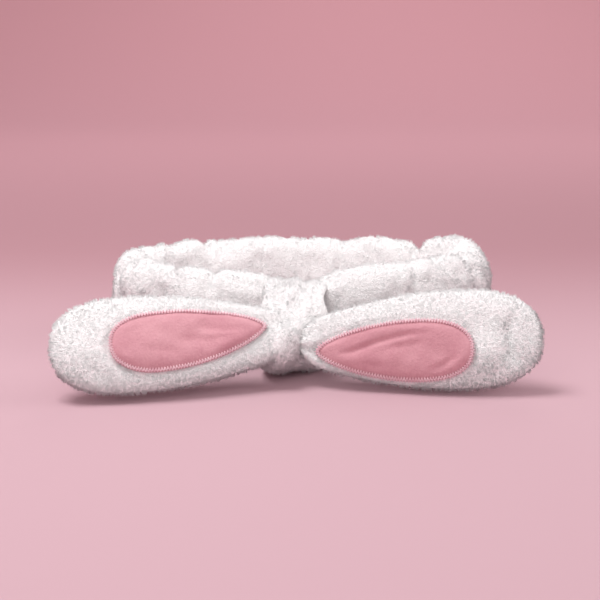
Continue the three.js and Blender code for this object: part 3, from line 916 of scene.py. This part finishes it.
# %% The ear's outline
EAR_LONG = 125 * MM
EAR_HALF_WIDE = 26.5 * MM
EAR_NECK = 11 * MM
EAR_WIDEST_AT = 83 * MM
EAR_ROOT_ROUND = 14 * MM
EAR_TIP_SQUARENESS = 2.5
EDGE_ROOM = 1.0 * MM  # the pile stands this far past the skin at the ear's edge


def rounded_off(share, exponent):
    """1 at the start, falling to 0 where the share reaches 1, as a rounded corner does."""
    return np.maximum(0, 1 - np.minimum(1, np.abs(share)) ** exponent) ** (1 / exponent)


def ear_half_width(u):
    """Half the ear's width at u along it."""
    swell = EAR_NECK + (EAR_HALF_WIDE - EAR_NECK) * np.sin(np.minimum(1, u / EAR_WIDEST_AT) * math.pi / 2)
    rooted = rounded_off(np.maximum(0, 1 - u / EAR_ROOT_ROUND), EAR_TIP_SQUARENESS)
    tipped = rounded_off(np.maximum(0, (u - EAR_WIDEST_AT) / (EAR_LONG - EAR_WIDEST_AT)), EAR_TIP_SQUARENESS)
    return swell * rooted * tipped


print("widest half of an ear", round(float(ear_half_width(np.array(EAR_WIDEST_AT))) / MM, 1), "mm")

# %% The patch's outline, from its point at the ear's root to its round end
PATCH_LONG = 81 * MM
PATCH_HALF_WIDE = 15.8 * MM
PATCH_ROUND_LONG = 27 * MM
PATCH_SQUARENESS = 2.4
PATCH_TAPER = 1.8
PATCH_BLUNTNESS = 0.66  # below 1, the patch's point is blunt


def patch_half_width(s):
    """Half the patch's width at s along it."""
    taper_long = PATCH_LONG - PATCH_ROUND_LONG
    taper = PATCH_HALF_WIDE * (1 - (1 - np.clip(s / taper_long, 0, 1)) ** PATCH_TAPER) ** PATCH_BLUNTNESS
    broad = PATCH_HALF_WIDE * rounded_off((s - taper_long) / PATCH_ROUND_LONG, PATCH_SQUARENESS)
    return np.where(s > taper_long, broad, taper) * (s > 0)


# %% Where each ear lies, and its creases
# The ear starts at root_x across and root_z up. It is turned by three angles in degrees: lift raises its
# tip, forward swings the tip towards the front, and lean tips its face up. The patch starts at patch_start
# along the ear, lies patch_shift off its middle line, and its point lies patch_skew further off.
# A crease has a half width, then the places it runs through: u, w and depth there, in mm.
EARS = {
    "left": {
        "side": -1, "root_x": -4 * MM, "root_z": 27 * MM, "lift": -0.7, "forward": 12, "lean": 36,
        "patch_start": 14 * MM, "patch_shift": -2.2 * MM, "patch_skew": 5.5 * MM, "seed": 40,
        "creases": (
            (3.0, (103, 24, 0.2), (110, 14, 0.8), (113, 3, 0)),
            (3.0, (95, -24, 0.2), (103, -16, 0.8), (109, -6, 0)),
            (2.5, (20, 8, 0), (30, 13, 0.9), (42, 18, 0)),
        ),
        "patch_creases": (
            (2.0, (8, -1, 0), (22, 1, 0.7), (44, 6, 0)),
            (2.2, (14, -3, 0), (30, -3, 0.6), (52, 0, 0)),
            (2.2, (38, -9, 0), (54, -6, 0.45), (68, -2, 0)),
            (2.2, (54, 10, 0), (66, 7, 0.5), (76, 2, 0)),
        ),
    },
    "right": {
        "side": 1, "root_x": 0.0, "root_z": 21.6 * MM, "lift": 3.2, "forward": 6, "lean": 25,
        "patch_start": 8.5 * MM, "patch_shift": -6.2 * MM, "patch_skew": 1.0 * MM, "seed": 50,
        "creases": (
            (2.8, (112, 16, 0), (107, 3, 1.9), (108, -8, 1.6), (113, -17, 0)),
            (3.0, (96, -24, 0), (101, -19, 1.0), (107, -12, 0)),
            (2.6, (116, 10, 0), (119, 0, 0.8), (118, -9, 0)),
            (2.6, (12, 8, 0), (24, 12, 1.0), (40, 16, 0)),
        ),
        "patch_creases": (
            (1.6, (12, -2, 0), (20, 0, 1.3), (34, 5, 1.4), (48, 8, 1.1), (62, 9, 0)),
            (1.9, (30, -1, 0), (44, 2, 0.9), (58, 4, 0)),
            (2.0, (16, -6, 0), (30, -8, 0.6), (46, -9, 0)),
            (1.8, (56, -12, 0), (66, -8, 1.2), (75, -2, 0)),
        ),
    },
}


def crease_depth(u, w, creases):
    """How deep the given creases are at each point of the face."""
    deepest = np.zeros(np.broadcast(u, w).shape)
    for half_width, *stops in creases:
        for (u0, w0, depth0), (u1, w1, depth1) in zip(stops, stops[1:]):
            run, rise = (u1 - u0) * MM, (w1 - w0) * MM
            share = np.clip(((u - u0 * MM) * run + (w - w0 * MM) * rise) / (run * run + rise * rise), 0, 1)
            away = np.hypot(u - u0 * MM - share * run, w - w0 * MM - share * rise)
            depth = (depth0 + (depth1 - depth0) * share) * MM
            deepest = np.maximum(deepest, depth * bell(away, half_width * MM))
    return deepest


# %% Where the patch lies on the ear
def bunched(shares):
    """Shares from 0 to 1, moved closer together at both ends, where an outline turns fastest."""
    return 0.5 - 0.5 * np.cos(math.pi * shares)


def patch_middle(ear, s):
    """Where the patch's middle line crosses the ear, at s from the patch's point."""
    return ear["patch_shift"] + ear["patch_skew"] * (1 - np.clip(s / PATCH_LONG, 0, 1)) ** 2


def patch_share(ear, u, w):
    """1 at the middle of the patch, 0 at its edge, and below 0 outside."""
    s = u - ear["patch_start"]
    half = patch_half_width(s)
    return 1 - np.abs(w - patch_middle(ear, s)) / np.maximum(half, 0.2 * MM)


def seam_distance(ear, u, w):
    """How far each point of the face lies from the patch's edge."""
    s = PATCH_LONG * bunched(np.linspace(0, 1, 90))
    half = patch_half_width(s)
    middle = patch_middle(ear, s)
    nearest = np.full(np.broadcast(u, w).shape, 1.0)
    for place, centre, reach in zip(s + ear["patch_start"], middle, half):
        for side in (-1, 1):
            nearest = np.minimum(nearest, np.hypot(u - place, w - centre - side * reach))
    return nearest


# %% How far the ear's two faces stand out of its middle plane
EAR_HALF_THICK = 9.5 * MM
EAR_THINNING = 0.6  # how quickly the ear thins where it narrows
EAR_CROWN = 2.2
NARROWEST = 0.1 * MM
SEWN_DEPTH = 1.2 * MM  # the seam of the patch pulls the face in
SEWN_REACH = 2.4 * MM
EAR_LUMPS = 0.7 * MM
ROOT_GATHERS = 0.8 * MM
ROOT_GATHERS_REACH = 14 * MM
BACK_LUMPS = 0.8 * MM


def ear_thickness(half):
    """Half the ear's thickness on its middle line, where its half width is given."""
    return EAR_HALF_THICK * (half / EAR_HALF_WIDE) ** EAR_THINNING - PILE_ROOM + 0.3 * MM


def ear_crown(w, half):
    """1 on the ear's middle line, and 0 at its edge."""
    return np.sqrt(np.maximum(0, 1 - np.minimum(1, np.abs(w) / np.maximum(half, NARROWEST)) ** EAR_CROWN))


def flat_points(u, w):
    """Points of the ear's middle plane, for relief that doesn't change with its height."""
    return np.stack([u + 0 * w, w + 0 * u, np.zeros(np.broadcast(u, w).shape)], -1)


def face_height(ear, u, w, half):
    """The front skin: crowned, a little lumpy, gathered at the root, sewn down and creased."""
    crown = ear_crown(w, half)
    sewn_down = SEWN_DEPTH * bell(seam_distance(ear, u, w), SEWN_REACH)
    lumps = EAR_LUMPS * ripples(flat_points(u, w), 24 * MM, ear["seed"]) * crown
    gathered = ROOT_GATHERS * np.cos(w / half.clip(1 * MM) * 7) * np.exp(-u / ROOT_GATHERS_REACH) * crown
    dents = (sewn_down + crease_depth(u, w, ear["creases"])) * crown
    return np.maximum(0.2 * MM, ear_thickness(half) * crown + lumps + gathered - dents)


def back_height(ear, u, w, half):
    """The back skin, which has only its crown and its lumps."""
    crown = ear_crown(w, half)
    lumps = BACK_LUMPS * ripples(flat_points(u, w), 22 * MM, ear["seed"] + 5) * crown
    return -ear_thickness(half) * crown - lumps


def face_under(ear, u, w):
    """The height of the face below a patch or its seam."""
    return face_height(ear, u, w, np.maximum(ear_half_width(u) - EDGE_ROOM, 0.3 * MM))


# %% From an ear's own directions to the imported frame
def ear_matrix(ear):
    """The turn from along, out of the face and across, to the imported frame."""
    side = ear["side"]
    turned = Matrix.Rotation(-side * math.radians(ear["forward"]), 3, "Z")
    turned = turned @ Matrix.Rotation(-side * math.radians(ear["lift"]), 3, "Y")
    return np.array(turned @ Matrix.Rotation(-math.radians(ear["lean"]), 3, "X"))


def ear_place(name, u, w, n):
    """From u, w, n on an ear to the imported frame."""
    ear = EARS[name]
    hinge = joints[f"{name}_ear_lift"]["pos_m"]
    origin = np.array([ring_centre.x + ear["root_x"], hinge[1], ear["root_z"]])
    local = np.stack(np.broadcast_arrays(ear["side"] * u, -n, w), -1)
    return local @ ear_matrix(ear).T + origin


# %% A closed form inside an ear
def ear_grid(name, inset, first, last, rows, columns):
    """Inset all round. Returns its points with u, w and which columns are on the face."""
    ear = EARS[name]
    outline_u = (first + (last - first) * bunched(np.linspace(0, 1, rows)))[:, None]
    u = outline_u * (1 - inset / EAR_LONG)
    angle = np.linspace(0, 2 * math.pi, columns, endpoint=False)[None, :]
    half = np.maximum(ear_half_width(outline_u) * (1 - inset / EAR_HALF_WIDE), NARROWEST)
    w = half * np.cos(angle)
    front = np.sin(angle) >= 0
    n = np.where(front, face_height(ear, u, w, half), back_height(ear, u, w, half))
    return ear_place(name, u, w, n), u, w, front


# %% An ear's skin and pile
EAR_ROWS, EAR_COLUMNS = 130, 72
EAR_FIRST = 0.05 * MM
EAR_LAST = EAR_LONG - 0.005 * MM
EAR_SPIKES = 30000


def make_ear(name):
    """One ear's skin, with pile everywhere but under its patch."""
    grid, u, w, front = ear_grid(name, EDGE_ROOM, EAR_FIRST, EAR_LAST, EAR_ROWS, EAR_COLUMNS)
    ear = EARS[name]
    plush = skin(f"{name}_ear_plush", grid, fleece_ground_painted_shade, False)
    density = np.where(front & (patch_share(ear, u, w) > 0), 0.0, 1.0)
    normals = grid_normals(grid, False)
    pile = grow_pile(f"{name}_ear_pile", grid, normals, density, EAR_SPIKES, ear["seed"] + 1)
    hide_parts(f"{name}_ear_root", f"{name}_ear_front_panel", f"{name}_ear_back_panel")
    return plush, pile


# %% [markdown]
# ## Patches and their zigzag seams
# The patch is a single sheet of velour laid on the ear's face and zigzagged down all round its edge. The
# sheet is given a little thickness, puffs up between its seams and wrinkles where the ear bends. The seam
# is thread: one tube that goes in and out across the patch's edge.

# %% The top of the velour
CLOTH_THICK = 0.7 * MM
PATCH_LIFT = 0.9 * MM
PATCH_PUFF = 1.1 * MM
PATCH_LUMPS = 0.25 * MM


def patch_height(name, s, v):
    """The top of the velour at s along the patch and v across it, from -1 to 1."""
    ear = EARS[name]
    u = ear["patch_start"] + s
    half = patch_half_width(s)
    w = patch_middle(ear, s) + v * half
    puff = PATCH_PUFF * (1 - v ** 4) * np.minimum(1, half / (8 * MM))
    wrinkles = crease_depth(s, v * half, ear["patch_creases"])
    lumps = PATCH_LUMPS * ripples(flat_points(s, v * half), 9 * MM, ear["seed"] + 9)
    return u, w, face_under(ear, u, w) + PATCH_LIFT + puff + (lumps - wrinkles) * (1 - v ** 6)


# %% The patch's sheet
PATCH_ROWS, PATCH_COLUMNS = 120, 48


def make_patch(name):
    """The patch's sheet: its top and its underside, closed round the edge. Its seam is made with it."""
    s = (PATCH_LONG * bunched(np.linspace(0.03, 0.985, PATCH_ROWS)))[:, None]
    v = -np.cos(np.linspace(0, math.pi, PATCH_COLUMNS))[None, :]
    u, w, n = patch_height(name, s, v)
    top = ear_place(name, u, w, n)
    under = ear_place(name, u, w, n - CLOTH_THICK)[:, ::-1]
    sheet = skin(f"{name}_ear_velour", np.concatenate([top, under], 1), velour, False)
    cell_wide = np.linalg.norm(np.diff(top, axis=1)[:-1], axis=2)
    cell_long = np.linalg.norm(np.diff(top, axis=0)[:, :-1], axis=2)
    print(name, "velour is about", round((cell_wide * cell_long).sum() / MM ** 2), "square mm")
    make_zigzag(name)
    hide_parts(f"{name}_ear_patch")
    return sheet


# %% The line of the seam
STITCH_PITCH = 1.5 * MM


def seam_line():
    """Places evenly spaced round the flat patch's edge, and the outward direction at each."""
    s = PATCH_LONG * bunched(np.linspace(0, 1, 500))
    upper = np.stack([s, patch_half_width(s)], -1)
    edge = np.concatenate([upper, upper[::-1] * (1, -1)])
    gaps = np.linalg.norm(np.diff(edge, axis=0, append=edge[:1]), axis=1)
    at = np.concatenate([[0], np.cumsum(gaps)])
    count = int(at[-1] / (STITCH_PITCH / 2)) // 2 * 2
    wanted = np.linspace(0, at[-1], count, endpoint=False)
    closed = np.vstack([edge, edge[:1]])
    flat = np.stack([np.interp(wanted, at, closed[:, k]) for k in (0, 1)], -1)
    along = np.roll(flat, -3, 0) - np.roll(flat, 3, 0)
    outward = np.stack([-along[:, 1], along[:, 0]], -1)
    outward /= np.linalg.norm(outward, axis=1, keepdims=True)
    middle = np.array([PATCH_LONG * 0.6, 0])
    facing = np.sign(np.einsum("ij,ij->i", outward, flat - middle).sum())
    return flat, outward * facing


seam_places, seam_outward = seam_line()
print(len(seam_places) // 2, "stitches round a patch")

# %% The zigzag seam
STITCH_OUT = 0.7 * MM
STITCH_IN = 1.7 * MM
THREAD_RADIUS = 0.32 * MM
THREAD_SIDES = 6
THREAD_LIFT = 0.9 * MM
THREAD_ARCH = 0.35 * MM  # between its two ends a stitch stands up
THREAD_BITE = 0.1 * MM  # and each end bites into the cloth


def make_zigzag(name):
    """One tube of thread that goes out over the plush and in over the velour, stitch by stitch."""
    ear = EARS[name]
    reach = np.where(np.arange(len(seam_places)) % 2 == 0, STITCH_OUT, -STITCH_IN)
    zigzag = seam_places + seam_outward * reach[:, None]
    middle = (zigzag + np.roll(zigzag, -1, 0)) / 2
    path = np.stack([zigzag, middle], 1).reshape(-1, 2)
    u, w = ear["patch_start"] + path[:, 0], patch_middle(ear, path[:, 0]) + path[:, 1]
    raised = np.where(np.arange(len(path)) % 2 == 1, THREAD_ARCH, -THREAD_BITE)
    points = ear_place(name, u, w, face_under(ear, u, w) + PATCH_LIFT + THREAD_LIFT + raised)
    facing = ear_matrix(ear) @ np.array([0, -1.0, 0])
    along = np.roll(points, -1, 0) - np.roll(points, 1, 0)
    along /= np.linalg.norm(along, axis=1, keepdims=True)
    across = np.cross(along, facing)
    across /= np.linalg.norm(across, axis=1, keepdims=True)
    up = np.cross(across, along)
    rows = []
    for k in range(THREAD_SIDES):
        angle = 2 * math.pi * k / THREAD_SIDES
        rows.append(points + THREAD_RADIUS * (across * math.cos(angle) + up * math.sin(angle)))
    seam = skin(f"{name}_ear_zigzag", np.stack(rows, 1), pink_thread, True)
    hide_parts(f"{name}_ear_patch_stitching")
    return seam


# %% [markdown]
# ## The filling, and the stretch of the bend
# An ear is filled with loose fibre, which is a lumpy form well inside its skin. The gathered root is left empty.
# The imported ear turns on two hinges beside its root. Cloth has no hinge line, so for each ear the stretch over
# which its pieces would bend is worked out and printed.

# %% The filling
STUFFING_INSET = 4.5 * MM
STUFFING_FROM = 21 * MM
STUFFING_TO = EAR_LONG - 9 * MM
STUFFING_SHARE = 0.72
STUFFING_LUMPS = 0.6 * MM
STUFFING_ROWS, STUFFING_COLUMNS = 50, 36


def make_stuffing(name):
    """The filling of one ear, drawn in from its skin and made lumpy."""
    grid, *_ = ear_grid(
        name, STUFFING_INSET, STUFFING_FROM, STUFFING_TO, STUFFING_ROWS, STUFFING_COLUMNS)
    middle = grid.mean(1, keepdims=True)
    grid = middle + (grid - middle) * STUFFING_SHARE
    lumps = STUFFING_LUMPS * ripples(grid, 9 * MM, EARS[name]["seed"] + 3)
    grid += grid_normals(grid, False) * lumps[..., None]
    stuffing = skin(f"{name}_ear_stuffing", grid, filling, False)
    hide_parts(f"{name}_ear_wadding")
    return stuffing


# %% Both ears, with the stretch over which each would bend
BEND_FROM = 2 * MM
BEND_TO = 32 * MM
for name in EARS:
    plush, pile = make_ear(name)
    velour_patch = make_patch(name)
    stuffing = make_stuffing(name)
    seam = bpy.data.objects[f"{name}_ear_zigzag"]
    bend_start = Vector(ear_place(name, BEND_FROM, 0.0, 0.0))
    bend_end = Vector(ear_place(name, BEND_TO, 0.0, 0.0))
    cloths = (
        (plush, "white_fleece"), (pile, "white_fleece"), (velour_patch, "pink_velour"), (seam, "pink_thread"),
        (stuffing, "wadding"))
    for piece, slot in cloths:
        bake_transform(piece)
    print(name, "ear bends from", in_mm(bend_start), "to", in_mm(bend_end))


# %% [markdown]
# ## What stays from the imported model
# The seam tape behind the knot and the stitched lap of the elastic have the right shape already. They only
# get their cloth.

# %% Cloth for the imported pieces
for node in ("knot_seam", "elastic_join_stitch"):
    piece = frame["nodes"][node]
    piece.data.materials.clear()
    piece.data.materials.append(white_tape)
    print(node, "is white tape")

# %% Sizes, and the end
low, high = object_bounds()
print("visual box, in mm from", in_mm(low), "to", in_mm(high))
